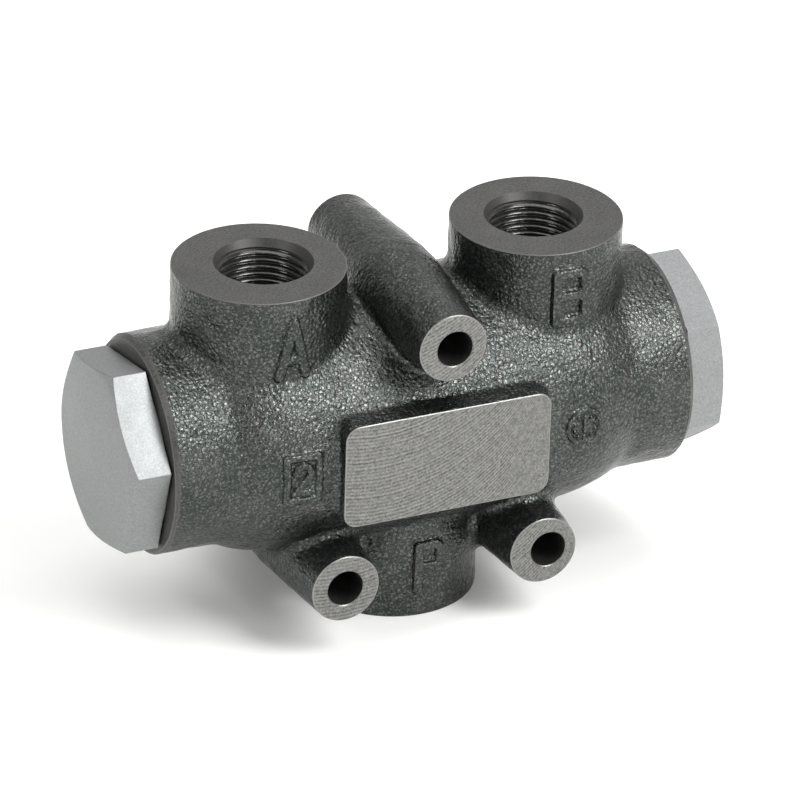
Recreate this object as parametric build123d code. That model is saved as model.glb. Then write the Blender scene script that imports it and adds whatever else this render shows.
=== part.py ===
from build123d import *
from math import cos, radians, tan
import os

# Flow divider valve. Sizes in millimetres, angles in degrees. The origin is the centre of the inlet
# port's face, +X runs along the spool, +Z points up to the outlet ports, and the name pad faces -Y.

# Casting
spool_height = 35.7
overall_height = 67.5
body_length = 98.6
barrel_radius = 19.5
barrel_cast_rise = 0.25
belly_radius = 22.6
belly_length = 50.0
belly_run_out = 14.5
belly_crest_share = 0.8
end_rim_radius = 18.95
end_rim_slope = 35.0
end_rim_length = 2.0
port_spacing = 51.3
port_boss_radius = 15.3
port_boss_blend = 2.5
outlet_a_boss_shift_x = -1.1
outlet_a_boss_shift_y = -0.5
outlet_b_boss_shift_x = 0.2
outlet_b_boss_shift_y = -0.7
draft = 5.0

# Mounting tubes, drafted both ways from the parting plane through the spool axis
front_face = 24.7
tube_end_radius = 6.3
tube_ridge = 40.0
top_tube_height = 22.0
top_tube_cast_shift_x = -0.4
top_tube_cast_shift_z = 0.3
top_tube_blend = 1.2
low_tube_spacing = 38.8
low_tube_drop = 21.5
low_right_cast_shift_x = -1.0
low_tube_blend = 1.5
mounting_hole_radius = 3.3

# Name pad on the front
pad_cast_shift_x = -0.6
pad_width = 38.9
pad_height = 19.7
pad_corner = 2.6
pad_root = 12.0
pad_blend = 1.5

# Ports, G 3/8 with the thread left as its core
port_core_radius = 7.475
port_mouth_radius = 8.7
port_mouth_depth = 1.9
port_drill_depth = 15.0
port_passage_radius = 5.5
drill_point = 118.0

# Spool bore
bore_radius = 8.0
gallery_radius = 10.8
inlet_gallery_width = 25.0
outlet_gallery_width = 9.0
bore_end_from_face = 12.3

# End plugs
plug_across_flats = 32.0
plug_head_thickness = 7.0
plug_face_radius = 15.9
plug_face_slope = 20.0
plug_collar_radius = 15.5
plug_collar_thickness = 0.4
plug_thread_radius = 12.5
plug_thread_clearance = 0.05
plug_thread_reach = 11.5
plug_point_chamfer = 0.8
plug_pocket_radius = 8.4
plug_pocket_depth = 8.0
left_plug_turn = 11.9
right_plug_turn = 37.6

# Plug seals
seal_wire_radius = 1.4
seal_clearance = 0.05
plug_neck_radius = 11.0

# Spool pair
spool_clearance = 0.015
spool_inner_shoulder = 5.0
spool_end_land = 2.85
spool_web = 2.5
spool_inlet_bore_radius = 4.4
spool_bore_radius = 5.8
inlet_hole_radius = 1.5
inlet_hole_edge = 0.75
outlet_window_radius = 2.2
balance_groove_width = 0.5
balance_groove_depth = 0.4
balance_groove_pitch = 1.9
balance_groove_count = 3
spool_end_chamfer = 0.3

# Orifice discs and their snap rings
disc_seat = 12.0
disc_thickness = 1.5
disc_clearance = 0.05
orifice_radius = 1.5
orifice_relief_radius = 3.0
ring_thickness = 1.0
ring_groove_radius = 6.4
ring_inner_radius = 4.8
ring_gap = 60.0
ring_clearance = 0.05

# Hook between the half spools
hook_radius = 5.8
hook_neck_width = 3.0
hook_head_width = 7.6
hook_head_thickness = 2.0
hook_side_clearance = 0.1
hook_stop_clearance = 0.05
claw_thickness = 2.15
claw_inner_face = 0.95

# Springs
spring_mean_radius = 6.7
spring_wire_radius = 0.6
end_spring_turns = 5.0
centre_spring_turns = 4.0
spring_plate_thickness = 1.0
spring_spigot_radius = 5.9
spring_spigot_length = 1.2
spring_plate_hole_radius = 2.0
shim_thickness = 0.5
shim_hole_radius = 3.0
pocket_clearance = 0.2

# Worked out from the sizes above
body_end = body_length / 2
port_x = port_spacing / 2
spool_radius = bore_radius - spool_clearance
bore_end = body_end - bore_end_from_face
thread_bore_radius = plug_thread_radius + plug_thread_clearance
seal_bore_radius = plug_neck_radius + 2 * (seal_wire_radius + seal_clearance)
seal_bore_depth = 2 * (seal_wire_radius + seal_clearance)
plug_neck_length = seal_bore_depth + plug_thread_clearance
plug_point = body_end - plug_thread_reach
pocket_floor = plug_point + plug_pocket_depth
spring_plate_face = pocket_floor - shim_thickness - spring_plate_thickness
spool_outer_end = port_x + outlet_gallery_width / 2 + spool_end_land
window_x = port_x + outlet_gallery_width / 2 - outlet_window_radius
inlet_hole_x = disc_seat - inlet_hole_edge - inlet_hole_radius
inlet_bore_start = spool_inner_shoulder + spool_web
first_balance_groove = inlet_gallery_width / 2 + 2 * balance_groove_pitch
hook_head_start = claw_inner_face + hook_stop_clearance
touch = 1e-4


def column(x, y, bottom, top, radius):
    """A vertical cylinder."""
    return Pos(x, y, bottom) * Cylinder(radius, top - bottom, align=(Align.CENTER, Align.CENTER, Align.MIN))


def bar(start, end, radius):
    """A cylinder on the spool axis, from one x to another."""
    lying = Rot(0, 90, 0) * Cylinder(radius, end - start, align=(Align.CENTER, Align.CENTER, Align.MIN))
    return Pos(start, 0, spool_height) * lying


def turned(points):
    """Revolve a closed profile of (x, radius) points about the spool axis."""
    profile = make_face(Polyline(*points, close=True))
    return Pos(0, 0, spool_height) * revolve(profile, axis=Axis.X)


def on_left(shape):
    """The same piece at the other end of the spool axis."""
    return mirror(shape, about=Plane.YZ)


def blended(base, form, radius):
    """Fuse a cast form to the base and round the seam between them."""
    fused = base + form
    middles = [(edge, edge @ 0.5) for edge in fused.edges()]
    seam = [edge for edge, at in middles if base.distance_to(at) < touch and form.distance_to(at) < touch]
    return fillet(seam, radius)


def barrel():
    """The round outline along the spool: plain ends that swell to a belly through an S of two arcs."""
    belly_end = belly_length / 2
    run_out_end = belly_end + belly_run_out
    crest_drop = belly_crest_share * (belly_radius - barrel_radius)
    meeting = (belly_end + belly_crest_share * belly_run_out, belly_radius - crest_drop)
    crown = Line((-belly_end, belly_radius), (belly_end, belly_radius))
    crest = TangentArc((belly_end, belly_radius), meeting, tangent=(1, 0))
    foot = TangentArc((run_out_end, barrel_radius), meeting, tangent=(-1, 0))
    ends = Polyline(
        (run_out_end, barrel_radius), (body_end, barrel_radius), (body_end, 0),
        (-body_end, 0), (-body_end, barrel_radius), (-run_out_end, barrel_radius),
    )
    profile = make_face([crown, crest, foot, ends, on_left(crest), on_left(foot)])
    return Pos(0, 0, spool_height + barrel_cast_rise) * revolve(profile, axis=Axis.X)


def outlet_boss(x, y):
    """The round boss of an outlet port, cast a little off its port's axis."""
    return column(x, y, spool_height, overall_height, port_boss_radius)


def mounting_tube(x, height, outer_side):
    """A tube across the body, tapering from a rounded ridge on the parting plane to both faces."""
    ridge_radius = tube_end_radius + front_face * tan(radians(draft))
    outline = Polyline(
        (0, -front_face), (0, front_face), (outer_side * tube_end_radius, front_face),
        (outer_side * ridge_radius, 0), (outer_side * tube_end_radius, -front_face), close=True,
    )
    standing = Plane(origin=(0, 0, 0), x_dir=(0, 0, 1), z_dir=(1, 0, 0))
    section = make_face(standing * outline)
    section = fillet(section.vertices().sort_by(Axis.Z)[-1 if outer_side > 0 else 0], tube_ridge)
    return Pos(x, 0, height) * revolve(section, axis=Axis.Y)


def name_pad():
    """The raised pad on the front, with round corners and drafted sides."""
    middle = (pad_cast_shift_x, -front_face, spool_height + barrel_cast_rise)
    front = Plane(origin=middle, x_dir=(1, 0, 0), z_dir=(0, 1, 0))
    face = front * RectangleRounded(pad_width, pad_height, pad_corner)
    return extrude(face, front_face - pad_root, taper=-draft)


def end_rim_waste():
    """What the lathe takes off around the right-hand end face, leaving a cone on the casting."""
    outer = end_rim_radius + end_rim_length * tan(radians(end_rim_slope))
    return turned([(body_end, end_rim_radius), (body_end, outer), (body_end - end_rim_length, outer)])


def casting():
    """The body as it leaves the mould, with its flat faces already at their machined height."""
    boss_a_x = outlet_a_boss_shift_x - port_x
    boss_b_x = outlet_b_boss_shift_x + port_x
    top_z = spool_height + top_tube_height + top_tube_cast_shift_z
    low_z = spool_height - low_tube_drop
    low_x = low_tube_spacing / 2
    body = barrel()
    body = blended(body, outlet_boss(boss_a_x, outlet_a_boss_shift_y), port_boss_blend)
    body = blended(body, outlet_boss(boss_b_x, outlet_b_boss_shift_y), port_boss_blend)
    body = blended(body, mounting_tube(top_tube_cast_shift_x, top_z, 1), top_tube_blend)
    body = blended(body, name_pad(), pad_blend)
    body = blended(body, column(0, 0, 0, spool_height, port_boss_radius), port_boss_blend)
    body = blended(body, mounting_tube(-low_x, low_z, -1), low_tube_blend)
    body = blended(body, mounting_tube(low_x + low_right_cast_shift_x, low_z, -1), low_tube_blend)
    return body - end_rim_waste() - on_left(end_rim_waste())


def port_hole(x, mouth, inward):
    """A port's mouth, tapped hole and drilled way to the spool; inward is -1 down and 1 up."""
    point = port_core_radius / tan(radians(drill_point / 2))
    profile = Polyline(
        (0, 0), (port_mouth_radius, 0), (port_core_radius, port_mouth_depth),
        (port_core_radius, port_drill_depth), (0, port_drill_depth + point), close=True,
    )
    upright = Plane(origin=(x, 0, mouth), x_dir=(1, 0, 0), z_dir=(0, -inward, 0))
    hole = revolve(upright * make_face(profile), axis=Axis(origin=(x, 0, mouth), direction=(0, 0, 1)))
    low, high = sorted((mouth + inward * port_drill_depth, spool_height))
    return hole + column(x, 0, low, high, port_passage_radius)


def spool_bore():
    """The bore for the spool, its three galleries, and the threaded mouths for the plugs."""
    half_inlet = inlet_gallery_width / 2
    half_outlet = outlet_gallery_width / 2
    bore = bar(-bore_end, bore_end, bore_radius) + bar(-half_inlet, half_inlet, gallery_radius)
    for x in (-port_x, port_x):
        bore += bar(x - half_outlet, x + half_outlet, gallery_radius)
    mouth = bar(bore_end, body_end, thread_bore_radius)
    mouth += bar(body_end - seal_bore_depth, body_end, seal_bore_radius)
    return bore + mouth + on_left(mouth)


def mounting_hole(x, height):
    """A plain hole right through a mounting tube, from front to back."""
    return Pos(x, 0, height) * Rot(90, 0, 0) * Cylinder(mounting_hole_radius, 2 * front_face)


def valve_body():
    """The finished body."""
    low_z = spool_height - low_tube_drop
    body = casting() - spool_bore() - port_hole(0, 0, 1)
    for x in (-port_x, port_x):
        body -= port_hole(x, overall_height, -1)
    body -= mounting_hole(0, spool_height + top_tube_height)
    for x in (-low_tube_spacing / 2, low_tube_spacing / 2):
        body -= mounting_hole(x, low_z)
    return body


def end_plug(turn):
    """The plug of the right-hand end, with a corner of its hexagon turned up from the front."""
    seat = body_end + plug_collar_thickness
    outer_face = seat + plug_head_thickness
    towards_corner = (0, -cos(radians(turn)), cos(radians(90 - turn)))
    outward = Plane(origin=(seat, 0, spool_height), x_dir=towards_corner, z_dir=(1, 0, 0))
    corner_radius = plug_across_flats / 2 / cos(radians(30))
    cone_start = outer_face - (plug_across_flats - plug_face_radius) * tan(radians(plug_face_slope))
    blank = turned([
        (seat, 0), (seat, plug_across_flats), (cone_start, plug_across_flats),
        (outer_face, plug_face_radius), (outer_face, 0),
    ])
    head = extrude(outward * RegularPolygon(corner_radius, 6), plug_head_thickness) & blank
    neck_end = body_end - plug_neck_length
    shank = turned([
        (seat, 0), (seat, plug_collar_radius), (body_end, plug_collar_radius),
        (body_end, plug_neck_radius), (neck_end, plug_neck_radius),
        (neck_end - plug_point_chamfer, plug_thread_radius),
        (plug_point + plug_point_chamfer, plug_thread_radius),
        (plug_point, plug_thread_radius - plug_point_chamfer), (plug_point, 0),
    ])
    return head + shank - bar(plug_point, pocket_floor, plug_pocket_radius)


def plug_seal():
    """The O-ring of the right-hand plug."""
    ring = Torus(plug_neck_radius + seal_clearance + seal_wire_radius, seal_wire_radius)
    return Pos(body_end - seal_clearance - seal_wire_radius, 0, spool_height) * Rot(0, 90, 0) * ring


def adjusting_shim():
    """A thin washer on the floor of the right-hand plug's pocket."""
    outer = plug_pocket_radius - pocket_clearance
    start = pocket_floor - shim_thickness
    return bar(start, pocket_floor, outer) - bar(start, pocket_floor, shim_hole_radius)


def spring_plate():
    """A plate with a spigot that centres the right-hand end spring."""
    outer = plug_pocket_radius - pocket_clearance
    back = spring_plate_face + spring_plate_thickness
    tip = spring_plate_face - spring_spigot_length
    return turned([
        (back, spring_plate_hole_radius), (back, outer), (spring_plate_face, outer),
        (spring_plate_face, spring_spigot_radius), (tip, spring_spigot_radius),
        (tip, spring_plate_hole_radius),
    ])


def coil_spring(start, end, turns):
    """A round-wire compression spring between two seats, its ends ground flat."""
    path = Helix(pitch=(end - start) / turns, height=end - start, radius=spring_mean_radius)
    section = Plane(origin=path @ 0, z_dir=path % 0) * Circle(spring_wire_radius)
    wire = Pos(start, 0, spool_height) * Rot(0, 90, 0) * sweep(section, path=path, is_frenet=True)
    return wire & bar(start, end, spring_mean_radius + 2 * spring_wire_radius)


def cross_holes(x, radius):
    """Four radial holes through the spool's wall, drilled as two crossing pairs."""
    upright = Cylinder(radius, 3 * bore_radius)
    return Pos(x, 0, spool_height) * (upright + Rot(90, 0, 0) * upright)


def half_spool_tube():
    """The hollow right-hand half of the spool, without its hook or claws."""
    groove_end = disc_seat + disc_thickness + ring_thickness + 2 * ring_clearance
    tube = turned([
        (spool_inner_shoulder, 0), (spool_inner_shoulder, spool_radius - spool_end_chamfer),
        (spool_inner_shoulder + spool_end_chamfer, spool_radius),
        (spool_outer_end - spool_end_chamfer, spool_radius),
        (spool_outer_end, spool_radius - spool_end_chamfer), (spool_outer_end, spool_bore_radius),
        (groove_end, spool_bore_radius), (groove_end, ring_groove_radius),
        (disc_seat + disc_thickness, ring_groove_radius), (disc_seat + disc_thickness, spool_bore_radius),
        (disc_seat, spool_bore_radius), (disc_seat, spool_inlet_bore_radius),
        (inlet_bore_start, spool_inlet_bore_radius), (inlet_bore_start, 0),
    ])
    tube -= cross_holes(inlet_hole_x, inlet_hole_radius)
    tube -= cross_holes(window_x, outlet_window_radius)
    for number in range(balance_groove_count):
        start = first_balance_groove + number * balance_groove_pitch
        band = bar(start, start + balance_groove_width, bore_radius)
        tube -= band - bar(start, start + balance_groove_width, spool_radius - balance_groove_depth)
    return tube


def slab(start, end, width):
    """A block across the spool axis, for the hook's flats and slots."""
    block = Box(end - start, width, 3 * bore_radius, align=(Align.MIN, Align.CENTER, Align.CENTER))
    return Pos(start, 0, spool_height) * block


def half_spool_left():
    """The half spool that carries the T-headed hook."""
    neck = slab(-spool_inner_shoulder, hook_head_start, hook_neck_width)
    head = slab(hook_head_start, hook_head_start + hook_head_thickness, hook_head_width)
    hook = (neck + head) & bar(-spool_inner_shoulder, hook_head_start + hook_head_thickness, hook_radius)
    return on_left(half_spool_tube()) + hook


def half_spool_right():
    """The half spool whose two claws reach behind the hook's head."""
    claw_tip = claw_inner_face - claw_thickness
    nose = bar(claw_tip, spool_inner_shoulder, hook_radius)
    nose -= slab(claw_tip, spool_inner_shoulder, hook_neck_width + 2 * hook_side_clearance)
    nose -= slab(claw_inner_face, spool_inner_shoulder, hook_head_width + 2 * hook_side_clearance)
    return half_spool_tube() + nose


def orifice_disc():
    """The metering disc of the right-hand half, with a relief behind its sharp-edged orifice."""
    back = disc_seat + disc_thickness
    outer = spool_bore_radius - disc_clearance
    return turned([
        (disc_seat, orifice_radius), (disc_seat, outer), (back, outer), (back, orifice_relief_radius),
        (disc_seat + disc_thickness / 3, orifice_radius),
    ])


def retaining_ring():
    """The open snap ring that holds the right-hand disc."""
    start = disc_seat + disc_thickness + ring_clearance
    outer = ring_groove_radius - ring_clearance
    profile = Polyline(
        (start, ring_inner_radius), (start, outer),
        (start + ring_thickness, outer), (start + ring_thickness, ring_inner_radius), close=True,
    )
    opened = revolve(make_face(profile), axis=Axis.X, revolution_arc=360 - ring_gap)
    return Pos(0, 0, spool_height) * opened


def pieces():
    """Every node by name."""
    end_spring = coil_spring(spool_outer_end, spring_plate_face, end_spring_turns)
    nodes = {
        "valve_body": valve_body(),
        "end_plug_left": on_left(end_plug(left_plug_turn)),
        "end_plug_right": end_plug(right_plug_turn),
        "half_spool_left": half_spool_left(),
        "half_spool_right": half_spool_right(),
        "centre_spring": coil_spring(-spool_inner_shoulder, spool_inner_shoulder, centre_spring_turns),
    }
    both_ends = {
        "plug_seal": plug_seal(),
        "adjusting_shim": adjusting_shim(),
        "spring_plate": spring_plate(),
        "end_spring": end_spring,
        "orifice_disc": orifice_disc(),
        "retaining_ring": retaining_ring(),
    }
    for name, piece in both_ends.items():
        nodes[name + "_right"] = piece
        nodes[name + "_left"] = on_left(piece)
    return nodes


os.makedirs("parts", exist_ok=True)
for node, solid in pieces().items():
    export_step(solid, f"parts/{node}.step")
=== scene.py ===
# Flow divider valve: the looks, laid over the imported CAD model. Sizes in the settings are millimetres.
import bpy
import math
import numpy as np
from mathutils import Matrix, Vector


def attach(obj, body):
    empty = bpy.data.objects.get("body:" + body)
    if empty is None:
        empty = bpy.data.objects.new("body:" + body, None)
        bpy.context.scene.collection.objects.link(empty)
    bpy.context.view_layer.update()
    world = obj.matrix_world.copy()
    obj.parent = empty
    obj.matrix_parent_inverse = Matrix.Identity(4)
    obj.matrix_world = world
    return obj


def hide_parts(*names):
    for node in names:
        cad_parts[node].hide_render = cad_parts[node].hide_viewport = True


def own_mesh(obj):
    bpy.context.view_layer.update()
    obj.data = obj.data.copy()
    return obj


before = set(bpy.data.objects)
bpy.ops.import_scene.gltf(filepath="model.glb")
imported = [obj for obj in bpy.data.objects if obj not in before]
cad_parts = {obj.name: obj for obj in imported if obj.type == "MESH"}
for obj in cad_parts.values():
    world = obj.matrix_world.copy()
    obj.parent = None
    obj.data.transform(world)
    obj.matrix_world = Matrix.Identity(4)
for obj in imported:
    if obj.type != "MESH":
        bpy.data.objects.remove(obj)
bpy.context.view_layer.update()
mm = 0.001


def paint(hexCode):
    # an sRGB hex colour as linear RGBA
    shown = np.array([int(hexCode[i:i + 2], 16) for i in (1, 3, 5)]) / 255
    linear = np.where(shown <= 0.04045, shown / 12.92, ((shown + 0.055) / 1.055) ** 2.4)
    return (*linear.tolist(), 1.0)


def addNode(owner, kind, settings=None, inputs=None):
    # a node with its settings; each input is a value or another node's output
    node = owner.node_tree.nodes.new("ShaderNode" + kind)
    for name, value in (settings or {}).items():
        setattr(node, name, value)
    for name, value in (inputs or {}).items():
        if isinstance(value, bpy.types.NodeSocket):
            owner.node_tree.links.new(value, node.inputs[name])
        else:
            node.inputs[name].default_value = value
    return node


def newMaterial(name):
    material = bpy.data.materials.new(name)
    material.use_nodes = True
    material.node_tree.nodes.clear()
    return material


cameraView = {"azimuth": -24.55, "elevation": 28.46, "roll": 1.83, "distance": 1253.0,
              "target": (1.09, 0.0, 35.05), "lens": 319.9, "sensor": 36, "clip": (50, 30000)}


def placeCamera(view):
    azimuth, elevation, roll = (math.radians(view[k]) for k in ("azimuth", "elevation", "roll"))
    back = Vector((math.sin(azimuth) * math.cos(elevation),
                   -math.cos(azimuth) * math.cos(elevation), math.sin(elevation)))
    level = Vector((math.cos(azimuth), math.sin(azimuth), 0))
    above = back.cross(level)
    right = math.cos(roll) * level + math.sin(roll) * above
    up = math.cos(roll) * above - math.sin(roll) * level
    data = bpy.data.cameras.new("camera")
    data.lens, data.sensor_width = view["lens"], view["sensor"]
    data.clip_start, data.clip_end = (reach * mm for reach in view["clip"])
    camera = bpy.data.objects.new("camera", data)
    turn = Matrix((right, up, back)).transposed().to_4x4()
    place = (Vector(view["target"]) + view["distance"] * back) * mm
    camera.matrix_world = Matrix.Translation(place) @ turn
    bpy.context.collection.objects.link(camera)
    bpy.context.scene.camera = camera


lamps = {
    # direction from the valve, width and height in metres, watts
    "keyBox": ((0.43, -0.58, 0.69), 0.55, 0.75, 17.0),
    "leftBox": ((-0.80, -0.22, 0.55), 0.25, 0.60, 4.0),
    "frontBox": ((0.05, -0.93, 0.37), 0.16, 0.60, 3.5),
    "backBox": ((0.37, 0.80, 0.47), 0.50, 0.50, 0.5),
    "topBox": ((0.02, 0.14, 0.99), 1.40, 1.30, 15.0),
}
studio = {
    "lampDistance": 1300.0,
    "lampAim": 35.0,            # height of the point that every lamp looks at
    "fill": 0.24,               # world strength that lights the valve
    "skyLow": 1.0,              # what camera and metal see near the horizon
    "skyHigh": 0.05,            # and overhead
    "skyTurn": (0.30, 0.95),    # sines of the heights between which it darkens
    "floorColour": "#f4f4f2",
    "floorGlow": 0.10,          # lifts the pale floor to white for the eye only
    "floorReach": 6000.0,
    "floorDrop": 0.05,          # keeps the floor clear of the inlet face
}


def seenRay(owner):
    # 1 where a ray shows what it meets, to the camera or in a reflection, and 0 where it only brings light
    path = addNode(owner, "LightPath")
    seen = addNode(owner, "Math", {"operation": "ADD"},
                   {0: path.outputs["Is Camera Ray"], 1: path.outputs["Is Glossy Ray"]})
    seen = addNode(owner, "Math", {"operation": "ADD", "use_clamp": True},
                   {0: seen.outputs[0], 1: path.outputs["Is Transmission Ray"]})
    return seen.outputs[0]


def hangLamps(studio):
    for name, (direction, width, height, watts) in lamps.items():
        data = bpy.data.lights.new(name, "AREA")
        data.shape, data.size, data.size_y, data.energy = "RECTANGLE", width, height, watts
        lamp = bpy.data.objects.new(name, data)
        away = Vector(direction).normalized()
        lamp.location = (away * studio["lampDistance"] + Vector((0, 0, studio["lampAim"]))) * mm
        lamp.rotation_euler = away.to_track_quat("Z", "Y").to_euler()
        bpy.context.collection.objects.link(lamp)


def makeRoom(studio):
    world = bpy.data.worlds.new("softRoom")
    world.use_nodes = True
    world.node_tree.nodes.clear()
    towards = addNode(world, "TexCoord")
    height = addNode(world, "SeparateXYZ", inputs={0: towards.outputs["Generated"]})
    low, high = studio["skyTurn"]
    sky = addNode(world, "MapRange", {"interpolation_type": "SMOOTHSTEP"},
                  {"Value": height.outputs["Z"], "From Min": low, "From Max": high,
                   "To Min": studio["skyLow"], "To Max": studio["skyHigh"]})
    fill = addNode(world, "Background", inputs={"Strength": studio["fill"]})
    shown = addNode(world, "Background", inputs={"Strength": sky.outputs["Result"]})
    both = addNode(world, "MixShader", inputs={0: seenRay(world), 1: fill.outputs[0], 2: shown.outputs[0]})
    addNode(world, "OutputWorld", inputs={"Surface": both.outputs[0]})
    bpy.context.scene.world = world


def layFloor(studio):
    reach, level = studio["floorReach"] * mm, -studio["floorDrop"] * mm
    mesh = bpy.data.meshes.new("floor")
    corners = [(x * reach, y * reach, level) for x, y in ((-1, -1), (1, -1), (1, 1), (-1, 1))]
    mesh.from_pydata(corners, [], [(0, 1, 2, 3)])
    floor = bpy.data.objects.new("floor", mesh)
    bpy.context.collection.objects.link(floor)
    board = newMaterial("matt white board")
    glow = addNode(board, "Math", {"operation": "MULTIPLY"}, {0: seenRay(board), 1: studio["floorGlow"]})
    shader = addNode(board, "BsdfPrincipled", inputs={
        "Base Color": paint(studio["floorColour"]), "Roughness": 0.9, "Specular IOR Level": 0.1,
        "Emission Color": (1, 1, 1, 1), "Emission Strength": glow.outputs[0]})
    addNode(board, "OutputMaterial", inputs={"Surface": shader.outputs[0]})
    mesh.materials.append(board)


placeCamera(cameraView)
hangLamps(studio)
makeRoom(studio)
layFloor(studio)
bpy.context.scene.view_settings.view_transform = "Standard"
print("camera, lamps and floor are set")


def cells(width):
    # scale of a pattern on Object coordinates, which are metres, from the width of its cells in millimetres
    return 1000 / width


def closeSurface(material, look, share, wear, bump, rim=None):
    # what every finish ends in: dark to light by share, a painted highlight along broken edges, smooth to
    # rough by wear
    colour = addNode(material, "Mix", {"data_type": "RGBA"},
                     {0: share, 6: paint(look["dark"]), 7: paint(look["light"])})
    # where rim is given, the colour goes towards the rim colour: a painted highlight along the broken edges
    if rim:
        colour = addNode(material, "Mix", {"data_type": "RGBA"},
                         {0: rim, 6: colour.outputs[2], 7: paint(look["rim"])})
    smooth, coarse = look["roughness"]
    rough = addNode(material, "MapRange", inputs={"Value": wear, "From Min": 0.3, "From Max": 0.7,
                                                  "To Min": smooth, "To Max": coarse})
    shader = addNode(material, "BsdfPrincipled", inputs={
        "Base Color": colour.outputs[2], "Metallic": look["metallic"], "Roughness": rough.outputs[0],
        "Normal": bump.outputs[0]})
    addNode(material, "OutputMaterial", inputs={"Surface": shader.outputs[0]})
    return material


castSkin = {"dark": "#303634", "light": "#666562", "metallic": 0.9, "roughness": (0.22, 0.32),
            "grain": 0.46, "grainDepth": 0.09, "grainDrift": 0.5, "crumb": 0.80, "crumbDepth": 0.13,
            "creaseDepth": 0.024, "lump": 2.6, "lumpDepth": 0.24, "stain": 9.0, "pitGap": 3.4,
            "pitDepth": 0.08, "seamWidth": 0.35, "seamHeight": 0.04}


def sandCastIron(look):
    # grey iron out of a sand mould, blasted and phosphated: dark, with crumbs that catch the light between
    # fine creases that also carry painted shade in their colour, a few pits and the low seam of the mould's
    # parting
    iron = newMaterial("phosphated sand-cast grey iron")
    place = addNode(iron, "TexCoord").outputs["Object"]
    grain = addNode(iron, "TexNoise", inputs={"Vector": place, "Scale": cells(look["grain"]), "Detail": 2.0,
                                              "Roughness": 0.6})
    drift = addNode(iron, "VectorMath", {"operation": "MULTIPLY_ADD"},
                    {0: grain.outputs["Color"], 1: (look["grainDrift"] * mm,) * 3, 2: place})
    crumb = addNode(iron, "TexVoronoi", {"feature": "SMOOTH_F1"},
                    {"Vector": drift.outputs[0], "Scale": cells(look["crumb"]), "Smoothness": 0.4})
    border = addNode(iron, "TexVoronoi", {"feature": "DISTANCE_TO_EDGE"},
                     {"Vector": drift.outputs[0], "Scale": cells(look["crumb"])})
    crease = addNode(iron, "MapRange", {"interpolation_type": "SMOOTHSTEP"},
                     {"Value": border.outputs["Distance"], "From Min": 0.0, "From Max": 0.16})
    lump = addNode(iron, "TexNoise", inputs={"Vector": place, "Scale": cells(look["lump"]), "Detail": 2.0})
    stain = addNode(iron, "TexNoise", inputs={"Vector": place, "Scale": cells(look["stain"]), "Detail": 4.0})
    pits = addNode(iron, "TexVoronoi", inputs={"Vector": place, "Scale": cells(look["pitGap"])})
    pit = addNode(iron, "MapRange", {"interpolation_type": "SMOOTHSTEP"},
                  {"Value": pits.outputs["Distance"], "From Min": 0.06, "From Max": 0.18})
    across = addNode(iron, "SeparateXYZ", inputs={0: place})
    offPlane = addNode(iron, "Math", {"operation": "ABSOLUTE"}, {0: across.outputs["Y"]})
    seam = addNode(iron, "MapRange", {"interpolation_type": "SMOOTHSTEP"},
                   {"Value": offPlane.outputs[0], "From Min": 0.0, "From Max": look["seamWidth"] * mm,
                    "To Min": 1.0, "To Max": 0.0})
    layers = ((lump.outputs["Fac"], look["lumpDepth"]), (seam.outputs[0], look["seamHeight"]),
              (pit.outputs[0], look["pitDepth"]), (crumb.outputs["Distance"], -look["crumbDepth"]),
              (crease.outputs[0], look["creaseDepth"]), (grain.outputs["Fac"], look["grainDepth"]))
    bump = None
    for height, depth in layers:
        under = {"Normal": bump.outputs[0]} if bump else {}
        bump = addNode(iron, "Bump", inputs={"Height": height, "Distance": depth * mm, **under})
    speck = addNode(iron, "MapRange",
                    inputs={"Value": grain.outputs["Fac"], "From Min": 0.40, "From Max": 0.66})
    # specks that differ at random with the grain, left out of the creases so that these carry painted shade
    speckAndCreaseShade = addNode(iron, "Math", {"operation": "MULTIPLY"}, {0: speck.outputs[0], 1: crease.outputs[0]})
    tone = addNode(iron, "Math", {"operation": "MULTIPLY_ADD"},
                   {0: stain.outputs["Fac"], 1: 0.6, 2: speckAndCreaseShade.outputs[0]})
    share = addNode(iron, "MapRange", inputs={"Value": tone.outputs[0], "From Min": 0.25, "From Max": 1.25})
    return closeSurface(iron, look, share.outputs[0], lump.outputs["Fac"], bump)


# rim is the colour of the painted highlight along the broken edges
millMarks = {"dark": "#4c4c4a", "light": "#8c8c89", "rim": "#8c8c89", "metallic": 0.85,
             "roughness": (0.36, 0.48), "cutterRadius": 32.6, "pitch": 0.70, "depth": 0.018, "wander": 6.0,
             "wanderReach": 0.5, "grain": 0.35, "grainDepth": 0.006}


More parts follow.
